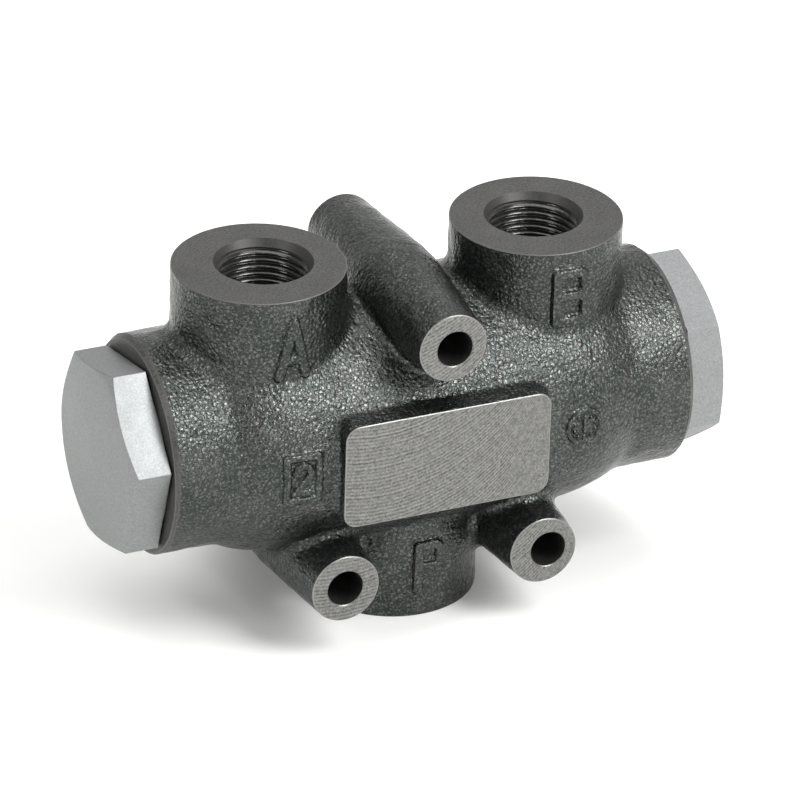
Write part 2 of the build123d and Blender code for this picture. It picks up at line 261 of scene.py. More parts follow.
def milledIron(look):
    # grey iron faced with a milling cutter: bright, with arcs of one radius stepped along the feed,
    # feed = z + sqrt(cutter radius^2 - (x - cutter centre)^2)
    iron = newMaterial("milled grey iron")
    place = addNode(iron, "TexCoord").outputs["Object"]
    centre = addNode(iron, "Attribute", {"attribute_name": "cutterCentre"})
    # strength of the painted highlight along the broken edges, given point by point on the faces
    rim = addNode(iron, "Attribute", {"attribute_name": "rim"})
    at = addNode(iron, "SeparateXYZ", inputs={0: place})
    reach = addNode(iron, "Math", {"operation": "SUBTRACT"}, {0: at.outputs["X"], 1: centre.outputs["Fac"]})
    square = addNode(iron, "Math", {"operation": "MULTIPLY"}, {0: reach.outputs[0], 1: reach.outputs[0]})
    rest = addNode(iron, "Math", {"operation": "SUBTRACT"},
                   {0: (look["cutterRadius"] * mm) ** 2, 1: square.outputs[0]})
    arc = addNode(iron, "Math", {"operation": "SQRT"}, {0: rest.outputs[0]})
    feed = addNode(iron, "Math", {"operation": "ADD"}, {0: at.outputs["Z"], 1: arc.outputs[0]})
    wander = addNode(iron, "TexNoise",
                     inputs={"Vector": place, "Scale": cells(look["wander"]), "Detail": 2.0})
    shifted = addNode(iron, "Math", {"operation": "MULTIPLY_ADD"},
                      {0: wander.outputs["Fac"], 1: look["wanderReach"] * mm, 2: feed.outputs[0]})
    strand = addNode(iron, "CombineXYZ", inputs={"X": shifted.outputs[0]})
    coarse = addNode(iron, "TexNoise", inputs={"Vector": strand.outputs[0], "Scale": cells(look["pitch"]),
                                               "Detail": 4.0, "Roughness": 0.7})
    wave = addNode(iron, "Math", {"operation": "MULTIPLY"},
                   {0: shifted.outputs[0], 1: 2 * math.pi / (look["pitch"] * mm)})
    ripple = addNode(iron, "Math", {"operation": "SINE"}, {0: wave.outputs[0]})
    height = addNode(iron, "Math", {"operation": "MULTIPLY_ADD"},
                     {0: ripple.outputs[0], 1: 0.16, 2: coarse.outputs["Fac"]})
    grain = addNode(iron, "TexNoise", inputs={"Vector": place, "Scale": cells(look["grain"]), "Detail": 3.0})
    bump = addNode(iron, "Bump", inputs={"Height": height.outputs[0], "Distance": look["depth"] * mm})
    bump = addNode(iron, "Bump", inputs={"Height": grain.outputs["Fac"], "Distance": look["grainDepth"] * mm,
                                         "Normal": bump.outputs[0]})
    blotch = addNode(iron, "Math", {"operation": "MULTIPLY_ADD"},
                     {0: grain.outputs["Fac"], 1: 1.3, 2: height.outputs[0]})
    share = addNode(iron, "MapRange", inputs={"Value": blotch.outputs[0], "From Min": 0.75, "From Max": 1.55})
    return closeSurface(iron, look, share.outputs[0], coarse.outputs["Fac"], bump, rim.outputs["Fac"])


# rim is the colour of the painted highlight along the broken edges
turnMarks = {"dark": "#242423", "light": "#5c5b5a", "rim": "#5f5e5c", "metallic": 0.5,
             "roughness": (0.42, 0.56), "pitch": 0.30, "depth": 0.004, "grain": 0.35, "grainDepth": 0.020,
             "stain": 5.0}


def turnedIron(look):
    # grey iron faced in a lathe and blasted: darker than the milled faces, sandy over faint turned rings
    iron = newMaterial("turned grey iron")
    place = addNode(iron, "TexCoord").outputs["Object"]
    centre = addNode(iron, "Attribute", {"attribute_name": "turnCentre"})
    # strength of the painted highlight along the broken edges, given point by point on the faces
    rim = addNode(iron, "Attribute", {"attribute_name": "rim"})
    out = addNode(iron, "VectorMath", {"operation": "DISTANCE"}, {0: place, 1: centre.outputs["Vector"]})
    strand = addNode(iron, "CombineXYZ", inputs={"X": out.outputs["Value"]})
    ring = addNode(iron, "TexNoise", inputs={"Vector": strand.outputs[0], "Scale": cells(look["pitch"]),
                                             "Detail": 3.0, "Roughness": 0.7})
    grain = addNode(iron, "TexNoise", inputs={"Vector": place, "Scale": cells(look["grain"]), "Detail": 3.0})
    stain = addNode(iron, "TexNoise", inputs={"Vector": place, "Scale": cells(look["stain"]), "Detail": 3.0})
    bump = addNode(iron, "Bump", inputs={"Height": ring.outputs["Fac"], "Distance": look["depth"] * mm})
    bump = addNode(iron, "Bump", inputs={"Height": grain.outputs["Fac"], "Distance": look["grainDepth"] * mm,
                                         "Normal": bump.outputs[0]})
    mixed = addNode(iron, "Math", {"operation": "MULTIPLY_ADD"},
                    {0: ring.outputs["Fac"], 1: 0.25, 2: grain.outputs["Fac"]})
    mixed = addNode(iron, "Math", {"operation": "MULTIPLY_ADD"},
                    {0: stain.outputs["Fac"], 1: 0.4, 2: mixed.outputs[0]})
    share = addNode(iron, "MapRange", inputs={"Value": mixed.outputs[0], "From Min": 0.55, "From Max": 1.1})
    return closeSurface(iron, look, share.outputs[0], stain.outputs["Fac"], bump, rim.outputs["Fac"])


cutWalls = {
    # oiled, so that its ridges glint
    "tapped grey iron": {"dark": "#262828", "light": "#646462", "metallic": 0.8,
                         "roughness": (0.14, 0.24), "streak": 0.6, "depth": 0.010},
    # dry and satin
    "countersunk grey iron": {"dark": "#2b2b2a", "light": "#4b4a48", "metallic": 0.6,
                              "roughness": (0.42, 0.55), "streak": 0.4, "depth": 0.010},
    # dull and dark
    "drilled grey iron": {"dark": "#171717", "light": "#302f2d", "metallic": 0.3,
                          "roughness": (0.45, 0.65), "streak": 0.8, "depth": 0.020},
}


def cutIron(name, look):
    # the wall that a drill or a tap leaves in grey iron, with a film of oil or dust on it
    iron = newMaterial(name)
    place = addNode(iron, "TexCoord").outputs["Object"]
    streak = addNode(iron, "TexNoise",
                     inputs={"Vector": place, "Scale": cells(look["streak"]), "Detail": 3.0})
    bump = addNode(iron, "Bump", inputs={"Height": streak.outputs["Fac"], "Distance": look["depth"] * mm})
    return closeSurface(iron, look, streak.outputs["Fac"], streak.outputs["Fac"], bump)


zincPlate = {"dark": "#7b7d7d", "light": "#999b9b", "metallic": 1.0, "roughness": (0.48, 0.60),
             "grain": 0.34, "grainDepth": 0.018, "ringPitch": 0.45, "ringDepth": 0.003, "cloud": 7.0}


def zincPlatedSteel(look, height):
    # hexagon bar turned, zinc plated and passivated: pale and satin, a frosted grain, faint rings on the end
    steel = newMaterial("zinc-plated turned steel")
    place = addNode(steel, "TexCoord").outputs["Object"]
    at = addNode(steel, "SeparateXYZ", inputs={0: place})
    flat = addNode(steel, "CombineXYZ", inputs={"Y": at.outputs["Y"], "Z": at.outputs["Z"]})
    out = addNode(steel, "VectorMath", {"operation": "DISTANCE"},
                  {0: flat.outputs[0], 1: (0, 0, height * mm)})
    strand = addNode(steel, "CombineXYZ", inputs={"X": out.outputs["Value"]})
    ring = addNode(steel, "TexNoise", inputs={"Vector": strand.outputs[0], "Scale": cells(look["ringPitch"]),
                                              "Detail": 3.0, "Roughness": 0.7})
    grain = addNode(steel, "TexNoise", inputs={"Vector": place, "Scale": cells(look["grain"]), "Detail": 3.0,
                                               "Roughness": 0.65})
    cloud = addNode(steel, "TexNoise", inputs={"Vector": place, "Scale": cells(look["cloud"]), "Detail": 4.0})
    bump = addNode(steel, "Bump", inputs={"Height": ring.outputs["Fac"], "Distance": look["ringDepth"] * mm})
    bump = addNode(steel, "Bump", inputs={"Height": grain.outputs["Fac"], "Distance": look["grainDepth"] * mm,
                                          "Normal": bump.outputs[0]})
    mixed = addNode(steel, "Math", {"operation": "MULTIPLY_ADD"},
                    {0: cloud.outputs["Fac"], 1: 0.3, 2: grain.outputs["Fac"]})
    share = addNode(steel, "MapRange", inputs={"Value": mixed.outputs[0], "From Min": 0.4, "From Max": 0.9})
    return closeSurface(steel, look, share.outputs[0], cloud.outputs["Fac"], bump)


innerParts = {
    # dark, light, line pitch along the spool axis, depth of the lines, metallic, roughness low and high
    "moulded nitrile rubber": ("#161616", "#262625", 1.2, 0.010, 0.0, (0.55, 0.70)),
    "oiled drawn spring steel": ("#4b4e50", "#7c8083", 0.25, 0.004, 1.0, (0.28, 0.40)),
    "hardened ground steel": ("#8f9496", "#b4b8ba", 0.12, 0.002, 1.0, (0.16, 0.26)),
    "turned free-cutting steel": ("#7f8283", "#a9acad", 0.20, 0.004, 1.0, (0.26, 0.38)),
}
innerCloud = 3.0    # width of the faint clouds on all of them


def innerMaterial(name, facts):
    # a worked surface whose fine lines run round the spool axis, so they vary along X only
    look = dict(zip(("dark", "light", "pitch", "depth", "metallic", "roughness"), facts))
    finish = newMaterial(name)
    place = addNode(finish, "TexCoord").outputs["Object"]
    at = addNode(finish, "SeparateXYZ", inputs={0: place})
    strand = addNode(finish, "CombineXYZ", inputs={"X": at.outputs["X"]})
    line = addNode(finish, "TexNoise", inputs={"Vector": strand.outputs[0], "Scale": cells(look["pitch"]),
                                               "Detail": 3.0})
    cloud = addNode(finish, "TexNoise", inputs={"Vector": place, "Scale": cells(innerCloud), "Detail": 3.0})
    bump = addNode(finish, "Bump", inputs={"Height": line.outputs["Fac"], "Distance": look["depth"] * mm})
    mixed = addNode(finish, "Math", {"operation": "MULTIPLY_ADD"},
                    {0: line.outputs["Fac"], 1: 0.5, 2: cloud.outputs["Fac"]})
    share = addNode(finish, "MapRange", inputs={"Value": mixed.outputs[0], "From Min": 0.5, "From Max": 1.0})
    return closeSurface(finish, look, share.outputs[0], cloud.outputs["Fac"], bump)


valve = {"spoolHeight": 35.7, "topFace": 67.5, "frontFace": 24.7, "endFace": 49.3, "endRim": 18.95,
         "endSlope": 35.0, "portX": 25.65, "lowTubeX": 19.4, "lowTubeZ": 14.2, "topTubeZ": 57.7,
         "holeRadius": 3.3, "portMouth": 8.7}
mountingHoles = [(0, valve["topTubeZ"]), (-valve["lowTubeX"], valve["lowTubeZ"]),
                 (valve["lowTubeX"], valve["lowTubeZ"])]

ironSkin = sandCastIron(castSkin)
ironMilled = milledIron(millMarks)
ironTurned = turnedIron(turnMarks)
ironTapped, ironSunk, ironDrilled = (cutIron(name, look) for name, look in cutWalls.items())
steelPlated = zincPlatedSteel(zincPlate, valve["spoolHeight"])
inner = {name: innerMaterial(name, facts) for name, facts in innerParts.items()}
print("materials are ready")


def newPiece(name, points, faces, materials, faceKinds=None):
    # points in millimetres, faces as rows of three or four indices
    mesh = bpy.data.meshes.new(name)
    faces = np.asarray(faces, np.int32)
    count, sides = faces.shape
    mesh.vertices.add(len(points))
    mesh.loops.add(count * sides)
    mesh.polygons.add(count)
    mesh.vertices.foreach_set("co", (np.asarray(points) * mm).astype(np.float32).ravel())
    mesh.loops.foreach_set("vertex_index", faces.ravel())
    mesh.polygons.foreach_set("loop_start", np.arange(0, count * sides, sides, dtype=np.int32))
    for material in materials:
        mesh.materials.append(material)
    if faceKinds is not None:
        mesh.polygons.foreach_set("material_index", np.asarray(faceKinds, np.int32))
    mesh.update(calc_edges=True)
    mesh.shade_smooth()
    piece = bpy.data.objects.new(name, mesh)
    bpy.context.collection.objects.link(piece)
    return piece


def gridFaces(rows, columns):
    # quads of a grid of rows by columns, the columns running round
    down, along = np.meshgrid(np.arange(rows - 1), np.arange(columns), indexing="ij")
    after = (along + 1) % columns
    quads = [down * columns + along, down * columns + after, (down + 1) * columns + after,
             (down + 1) * columns + along]
    return np.stack(quads, -1).reshape(-1, 4)


def smoothStep(value):
    value = np.clip(value, 0, 1)
    return value * value * (3 - 2 * value)


def unit(vectors):
    return vectors / np.maximum(np.linalg.norm(vectors, axis=-1, keepdims=True), 1e-12)


def readNode(name):
    # the node's merged points in millimetres, its triangles and the normal at every corner
    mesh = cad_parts[name].data
    points = np.empty(len(mesh.vertices) * 3, np.float32)
    corners = np.empty(len(mesh.loops), np.int32)
    normals = np.empty(len(mesh.loops) * 3, np.float32)
    mesh.vertices.foreach_get("co", points)
    mesh.loops.foreach_get("vertex_index", corners)
    mesh.corner_normals.foreach_get("vector", normals)
    points = points.reshape(-1, 3).astype(float) / mm
    merged, which = np.unique(np.round(points, 4), axis=0, return_inverse=True)
    triangles = which.ravel()[corners].reshape(-1, 3)
    whole = (triangles != np.roll(triangles, 1, axis=1)).all(1)
    return merged, triangles[whole], normals.reshape(-1, 3, 3).astype(float)[whole]


bulgeCosine = 0.93    # how well the normals on both sides of an edge agree where the skin runs through
splitPatterns = {  # which sides are cut -> new triangles; 0 1 2 are corners, 3 4 5 the middles of 01, 12, 20
    0: [(0, 1, 2)], 1: [(0, 3, 2), (3, 1, 2)], 2: [(0, 1, 4), (0, 4, 2)], 4: [(0, 1, 5), (5, 1, 2)],
    3: [(3, 1, 4), (0, 3, 4), (0, 4, 2)], 6: [(4, 2, 5), (0, 1, 4), (0, 4, 5)],
    5: [(0, 3, 5), (3, 1, 2), (3, 2, 5)], 7: [(0, 3, 5), (3, 1, 4), (5, 4, 2), (3, 4, 5)],
}


def splitLongSides(points, triangles, normals, kinds, limitAt):
    # one pass: a side longer than its limit is cut at a middle that bulges with the surface, which is
    # half of the mean step from the chord's middle onto the tangent planes at its two ends
    sides = np.stack([triangles, np.roll(triangles, -1, axis=1)], -1).reshape(-1, 2)
    edges, sideEdge = np.unique(np.sort(sides, axis=1), axis=0, return_inverse=True)
    sideEdge = sideEdge.reshape(-1, 3)
    middle = points[edges].mean(1)
    length = np.linalg.norm(points[edges[:, 0]] - points[edges[:, 1]], axis=1)
    onSkin = np.zeros(len(edges), bool)
    onSkin[sideEdge[kinds == 0].ravel()] = True
    cut = onSkin & (length > limitAt(middle))
    near, far = normals, np.roll(normals, -1, axis=1)
    start, end = points[triangles], points[np.roll(triangles, -1, axis=1)]
    half = (end - start) / 2
    bulge = -((half * near).sum(-1, keepdims=True) * near - (half * far).sum(-1, keepdims=True) * far) / 4
    flat = sideEdge.ravel()
    uses = np.bincount(flat, minlength=len(edges))
    lift = np.stack([np.bincount(flat, bulge.reshape(-1, 3)[:, i], len(edges)) for i in range(3)], 1)
    blend = (near + far).reshape(-1, 3) / 2
    agree = np.stack([np.bincount(flat, blend[:, i], len(edges)) for i in range(3)], 1)
    agree = np.linalg.norm(agree, axis=1) / np.maximum(uses, 1)
    smooth = (uses == 2) & (agree > bulgeCosine)
    middle = middle + np.where(smooth[:, None], lift / np.maximum(uses, 1)[:, None], 0)
    number = np.full(len(edges), -1)
    number[cut] = len(points) + np.arange(cut.sum())
    points = np.concatenate([points, middle[cut]])
    slots = np.concatenate([triangles, number[sideEdge]], 1)
    slotNormals = np.concatenate([normals, unit(near + far)], 1)
    pattern = (cut[sideEdge] * np.array([1, 2, 4])).sum(1)
    newTriangles, newNormals, newKinds = [], [], []
    for code, pieces in splitPatterns.items():
        chosen = pattern == code
        for piece in pieces:
            newTriangles.append(slots[chosen][:, piece])
            newNormals.append(slotNormals[chosen][:, piece])
            newKinds.append(kinds[chosen])
    return points, np.concatenate(newTriangles), np.concatenate(newNormals), np.concatenate(newKinds)


relief = {
    # centre x and z, height, half width of the stroke, width of its soft side, strokes as rows of points
    "letterA": (-26.6, 58.5, 0.75, 0.60, 0.60, [
        [(-2.4, -5.2), (0, 5.0), (2.4, -5.2)], [(-1.6, -2.2), (1.6, -2.2)]]),
    "letterB": (25.7, 59.0, 0.95, 0.66, 0.45, [
        [(-2.5, -4.7), (-2.5, 4.6), (1.7, 4.6), (2.5, 3.9), (2.5, 1.1), (1.8, 0.3), (-2.5, 0.3)],
        [(1.8, 0.3), (2.7, -0.6), (2.7, -3.9), (1.9, -4.7), (-2.5, -4.7)]]),
    "letterP": (0.5, 9.7, 0.75, 0.62, 0.45, [
        [(-1.9, -4.4), (-1.9, 4.4), (1.2, 4.4), (2.1, 3.6), (2.1, 1.0), (1.2, 0.1), (-1.9, 0.1)]]),
    "mouldNumber": (-27.0, 36.3, 0.65, 0.42, 0.40, [
        [(-2.9, -4.1), (2.9, -4.1), (2.9, 4.1), (-2.9, 4.1), (-2.9, -4.1)],
        [(-1.35, 1.3), (-1.0, 2.2), (0, 2.65), (1.0, 2.2), (1.35, 1.3), (1.0, 0.4), (-1.5, -2.5),
         (1.6, -2.5)]]),
}
reliefZone = {"front": -8, "halfWidth": 5, "halfHeight": 7}    # where marks can stand: y, then about a centre
dateClock = {"x": 26.4, "z": 36.4, "height": 0.50, "radius": 3.1, "width": 0.28, "side": 0.28,
             "dots": 10, "dotRing": 2.05, "dotRadius": 0.20, "hand": [(0, -0.7), (0, 1.0)]}
skinShape = {
    "sideLimit": 1.0, "fineLimit": 0.24, "margin": 1.4,    # longest sides, and how far the fine ones reach
    "passes": 9, "sharpAngle": 30, "facesKept": 0.46,
    "waves": 26, "waveLengths": (2.6, 8.0), "waveDepth": 0.055, "calmEdge": 1.2, "seed": 11,
    "edgeBreak": 0.12, "faceInside": 9.5,    # how far the skin stops short of a face, from which radius
}


def strokeDistance(across, up, strokes):
    # shortest distance from each point of the plane to the runs of the strokes
    nearest = np.full(len(across), np.inf)
    place = np.stack([across, up], 1)
    for stroke in strokes:
        for (x0, z0), (x1, z1) in zip(stroke[:-1], stroke[1:]):
            start, run = np.array((x0, z0)), np.array((x1 - x0, z1 - z0))
            share = np.clip(((place - start) @ run) / (run @ run), 0, 1)
            nearest = np.minimum(nearest, np.linalg.norm(place - start - share[:, None] * run, axis=1))
    return nearest


def reliefHeight(points):
    # height of letters and marks: full within the stroke, down its soft side in an S
    height = np.zeros(len(points))
    front = points[:, 1] < reliefZone["front"]
    wide, high = reliefZone["halfWidth"], reliefZone["halfHeight"]
    for x, z, tall, half, side, strokes in relief.values():
        box = front & (abs(points[:, 0] - x) < wide) & (abs(points[:, 2] - z) < high)
        away = strokeDistance(points[box, 0] - x, points[box, 2] - z, strokes)
        height[box] = np.maximum(height[box], tall * smoothStep((half + side - away) / side))
    clock = dateClock
    box = front & (abs(points[:, 0] - clock["x"]) < wide) & (abs(points[:, 2] - clock["z"]) < wide)
    across, up = points[box, 0] - clock["x"], points[box, 2] - clock["z"]
    out = np.hypot(across, up)
    turn = 2 * math.pi / clock["dots"]
    swing = (np.arctan2(across, up) + turn / 2) % turn - turn / 2
    away = np.minimum(abs(out - clock["radius"]) - clock["width"],
                      np.hypot(out - clock["dotRing"], out * swing) - clock["dotRadius"])
    away = np.minimum(away, strokeDistance(across, up, [clock["hand"]]) - clock["width"])
    height[box] = np.maximum(height[box], clock["height"] * smoothStep(1 - away / clock["side"]))
    return height


def sideLimit(points):
    # longest side allowed at a point: fine on the letters and marks, coarse elsewhere
    limit = np.full(len(points), skinShape["sideLimit"])
    margin, fine = skinShape["margin"], skinShape["fineLimit"]
    front = points[:, 1] < reliefZone["front"]
    for x, z, *sizes, strokes in relief.values():
        reach = np.abs(np.concatenate([np.array(s) for s in strokes])).max(0) + margin
        limit[front & (abs(points[:, 0] - x) < reach[0]) & (abs(points[:, 2] - z) < reach[1])] = fine
    reach = dateClock["radius"] + margin
    limit[front & (np.hypot(points[:, 0] - dateClock["x"], points[:, 2] - dateClock["z"]) < reach)] = fine
    return limit


def sandWaves(points):
    # slow unevenness of a sand mould: cosine waves in seeded random directions, summed to an rms of 0.7
    random = np.random.default_rng(skinShape["seed"])
    short, long = skinShape["waveLengths"]
    lengths = np.exp(random.uniform(math.log(short), math.log(long), skinShape["waves"]))
    ways = unit(random.normal(size=(skinShape["waves"], 3))) * (2 * math.pi / lengths)[:, None]
    start = random.uniform(0, 2 * math.pi, skinShape["waves"])
    return np.cos(points @ ways.T + start).sum(1) / math.sqrt(skinShape["waves"])


wallSearch = {
    # how the walls of the CAD casting are told from its skin, by size with a little slack
    "spoolBore": 14.6, "threadCore": 7.46, "threadDepth": 15.0, "slack": 0.02, "touch": 1e-3, "square": 0.99,
    "coneDepth": 2.0,
}


def surfaceKinds(points, triangles, normals):
    # 0 cast skin, 1 bored wall, 2 outer machined face, 3 port mouth and thread, 4 mounting hole
    slack, touch = wallSearch["slack"], wallSearch["touch"]
    corner = points[triangles]
    middle = corner.mean(1)
    facing = normals.mean(1)
    kinds = np.zeros(len(triangles), int)
    out = np.hypot(corner[..., 1], corner[..., 2] - valve["spoolHeight"])
    kinds[out.max(1) < wallSearch["spoolBore"]] = 1
    for x, inward in ((-valve["portX"], -1), (valve["portX"], -1), (0, 1)):
        mouth = valve["topFace"] if inward < 0 else 0
        depth = (corner[..., 2] - mouth) * inward
        away = np.hypot(corner[..., 0] - x, corner[..., 1])
        inside = (away.max(1) < valve["portMouth"] + slack)
        inside &= (middle[:, 2] - valve["spoolHeight"]) * inward < 0
        tapped = (depth.max(1) < wallSearch["threadDepth"] + touch) & (away.min(1) > wallSearch["threadCore"])
        kinds[inside] = 1
        kinds[inside & tapped] = 3
    for x, z in mountingHoles:
        kinds[np.hypot(corner[..., 0] - x, corner[..., 2] - z).max(1) < valve["holeRadius"] + slack] = 4
    spread = math.tan(math.radians(valve["endSlope"]))
    cone = valve["endRim"] + (valve["endFace"] - abs(corner[..., 0])) * spread
    faces = (abs(corner[..., 1]) > valve["frontFace"] - touch, corner[..., 2] > valve["topFace"] - touch,
             corner[..., 2] < touch)
    for face in faces:
        kinds[face.all(1) & (abs(facing).max(1) > wallSearch["square"])] = 2
    kinds[(abs(corner[..., 0]) > valve["endFace"] - touch).all(1)] = 2
    nearEnd = abs(middle[:, 0]) > valve["endFace"] - wallSearch["coneDepth"]
    kinds[(abs(out - cone) < slack).all(1) & nearEnd] = 2
    return kinds


def makeCasting():
    # the CAD casting merged and refined, its faces and threads left out, its skin made uneven and lettered
    points, triangles, normals = readNode("valve_body")
    kinds = surfaceKinds(points, triangles, normals)
    for attempt in range(skinShape["passes"]):
        before = len(triangles)
        points, triangles, normals, kinds = splitLongSides(points, triangles, normals, kinds, sideLimit)
        if len(triangles) == before:
            break
    kept = kinds < 2
    triangles, kinds = triangles[kept], kinds[kept]
    used, triangles = np.unique(triangles, return_inverse=True)
    points, triangles = points[used], triangles.reshape(-1, 3)
    casting = newPiece("casting", points, triangles, [ironSkin, ironDrilled], kinds)
    mesh = casting.data
    mesh.set_sharp_from_angle(angle=math.radians(skinShape["sharpAngle"]))
    outward = np.empty(len(points) * 3, np.float32)
    mesh.vertex_normals.foreach_get("vector", outward)
    outward = outward.reshape(-1, 3).astype(float)
    x, y, z = abs(points[:, 0]), points[:, 1], points[:, 2]
    room = np.min([valve["topFace"] - z, z, valve["frontFace"] - abs(y), valve["endFace"] - x], axis=0)
    skin = np.zeros(len(points), bool)
    skin[triangles[kinds == 0].ravel()] = True
    skin[triangles[kinds > 0].ravel()] = False
    rise = smoothStep(room / skinShape["calmEdge"]) * sandWaves(points) * skinShape["waveDepth"]
    rise += reliefHeight(points)
    points = points + np.where(skin[:, None], outward * rise[:, None], 0)
    # the skin stops a little short of every machined face, whose own broken edge comes down to meet it
    broken, touch = skinShape["edgeBreak"], wallSearch["touch"]
    points[:, 1] -= np.sign(y) * broken * (abs(y) > valve["frontFace"] - touch)
    fromPort = np.where(z > valve["spoolHeight"], np.hypot(x - valve["portX"], y), np.hypot(x, y))
    outer = fromPort > skinShape["faceInside"]
    points[:, 2] -= broken * (outer & (z > valve["topFace"] - touch)) - broken * (outer & (z < touch))
    mesh.vertices.foreach_set("co", (points * mm).astype(np.float32).ravel())
    mesh.update()
    thinned = casting.modifiers.new("fewerFaces", "DECIMATE")
    thinned.ratio = skinShape["facesKept"]
    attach(casting, "valve")
    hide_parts("valve_body")
    print("casting:", round(len(triangles) * skinShape["facesKept"]), "triangles")


makeCasting()


# each broken edge carries a painted highlight that fades out over a narrow width beside it
faceCut = {"edge": 0.12, "holeEdge": 0.18, "highlightWidth": 0.14, "columns": 180, "skirtIn": 0.3, "skirtDown": 0.6,
           "sharpAngle": 30}
bossFaces = {
    # middle of the cast outline, its radius, then the hole's place and the cutter's centre across
    "top": ((-0.4, 58.0), 6.3, mountingHoles[0], -16.5),
    "lowLeft": ((-19.4, 14.2), 6.3, mountingHoles[1], -20.0),
    "lowRight": ((18.4, 14.2), 6.3, mountingHoles[2], -5.5),
}
namePad = {"middle": (-0.6, 35.95), "half": (19.45, 9.85), "corner": 2.6, "cutter": -13.3,
           "insets": (2, 4, 6, 8, 9.84), "lastCorner": 0.005}
portFaces = {
    # middle of the cast outline, port axis, height of the face and which way it looks
    "A": ((-26.75, -0.5), -valve["portX"], valve["topFace"], 1),
    "B": ((25.85, -0.7), valve["portX"], valve["topFace"], 1),
    "P": ((0.0, 0.0), 0.0, 0.0, -1),
}
portRim = {"castRadius": 15.3, "mouthDrop": 0.06}
# around the ring's edge a painted highlight is spread over a narrow width
endFaces = {"bore": 13.9, "middle": 16.5, "skinRadius": 19.5, "skinRise": 0.25, "highlightWidth": 0.13,
            "rimDrop": 0.02}


def circleOutline(middle, radius):
    angle = np.linspace(0, 2 * math.pi, faceCut["columns"], endpoint=False)
    return np.stack([middle[0] + radius * np.cos(angle), middle[1] + radius * np.sin(angle)], 1)


def padOutline(middle, half, corner):
    # a rounded rectangle: a circle of the corner's radius carried to the four corners, evened out by length
    angle = np.linspace(0, 2 * math.pi, 8 * faceCut["columns"], endpoint=False)
    way = np.stack([np.cos(angle), np.sin(angle)], 1)
    rough = np.array(middle) + np.sign(way) * (np.array(half) - corner) + corner * way
    rough = np.concatenate([rough, rough[:1]])
    run = np.concatenate([[0], np.cumsum(np.linalg.norm(np.diff(rough, axis=0), axis=1))])
    even = np.linspace(0, run[-1], faceCut["columns"], endpoint=False)
    return np.stack([np.interp(even, run, rough[:, i]) for i in (0, 1)], 1)


def facedRows(outline, hole):
    # rows of (outline, level, rim) from a skirt under the skin, up the broken edge and in to the hole's edge
    # rim is the strength of a painted highlight on the broken edge and on the hole's edge
    edge, rim = faceCut["edge"], faceCut["highlightWidth"]
    rows = [(outline(faceCut["skirtIn"]), -edge - faceCut["skirtDown"], 0), (outline(0), -edge, 0.5),
            (outline(edge), 0, 1), (outline(edge + rim), 0, 0)]
    start, end = outline(edge + rim), hole(faceCut["holeEdge"])
    rows += [(start * (1 - t) + end * t, 0, 0) for t in (0.25, 0.5, 0.75, 1)]
    rows.append((hole(0), -faceCut["holeEdge"], 0.3))
    return rows


def bossFace(middle, radius, holePlace, front):
    # ruled rings between a round outline and its hole; front is -1, and 1 for the back
    rows = facedRows(lambda inset: circleOutline(middle, radius - inset),
                     lambda outset: circleOutline(holePlace, valve["holeRadius"] + outset))
    points = [np.stack([ring[:, 0], np.full(len(ring), front * (valve["frontFace"] + level)), ring[:, 1]], 1)
              for ring, level, rim in rows]
    return points, [row[2] for row in rows]


def padFace():
    # rounded rectangles that shrink to the pad's middle line
    edge, rim = faceCut["edge"], faceCut["highlightWidth"]
    # the third figure of each step is the strength of a painted highlight on the broken edge
    steps = [(faceCut["skirtIn"], -edge - faceCut["skirtDown"], 0), (0, -edge, 0.5), (edge, 0, 1),
             (edge + rim, 0, 0)]
    steps += [(inset, 0, 0) for inset in namePad["insets"]]
    points = []
    for inset, level, lit in steps:
        half = (namePad["half"][0] - inset, namePad["half"][1] - inset)
        ring = padOutline(namePad["middle"], half, max(namePad["corner"] - inset, namePad["lastCorner"]))
        points.append(np.stack([ring[:, 0], np.full(len(ring), -valve["frontFace"] - level), ring[:, 1]], 1))
    return points, [step[2] for step in steps]


def portFace(middle, x, level, up):
    # ruled rings between the boss's cast outline and the port's mouth
    mouth = valve["portMouth"]
    rows = facedRows(lambda inset: circleOutline(middle, portRim["castRadius"] - inset),
                     lambda outset: circleOutline((x, 0), mouth + outset / 3))[:-1]
    # the mouth's edge gets a faint painted highlight
    rows.append((circleOutline((x, 0), mouth), -portRim["mouthDrop"], 0.3))
    points = [np.stack([ring[:, 0], ring[:, 1], np.full(len(ring), level + up * rise)], 1)
              for ring, rise, rim in rows]
    return points, [row[2] for row in rows]


def endFace(side):
    # a flat ring, then a cone out to the cast skin, which stands a little above the spool axis:
    # skin(angle) = rise sin(angle) + sqrt(radius^2 - (rise cos(angle))^2), x = end - (out - rim) / tan(slope)
    angle = np.linspace(0, 2 * math.pi, faceCut["columns"], endpoint=False)
    rise = endFaces["skinRise"]
    skin = rise * np.sin(angle) + np.sqrt(endFaces["skinRadius"] ** 2 - (rise * np.cos(angle)) ** 2)
    rim, width = valve["endRim"], endFaces["highlightWidth"]
    # the third figure of each row is the strength of a painted highlight around the ring's edge and where the
    # cone meets the skin
    rows = [(endFaces["bore"], 0, 0), (endFaces["middle"], 0, 0), (rim - width, 0, 0),
            (rim - width / 2, 0, 1), (rim + width / 4, endFaces["rimDrop"], 1), (rim + width, 0, 0),
            ((rim + skin) / 2, 0, 0), (skin, 0, 0.4), (skin - faceCut["skirtIn"], faceCut["skirtDown"], 0)]
    points = []
    for out, back, lit in rows:
        out = out + 0 * angle
        down = np.maximum(out - rim, 0) / math.tan(math.radians(valve["endSlope"])) + back
        points.append(np.stack([side * (valve["endFace"] - down), out * np.cos(angle),
                                valve["spoolHeight"] + out * np.sin(angle)], 1))
    return points, [row[2] for row in rows]


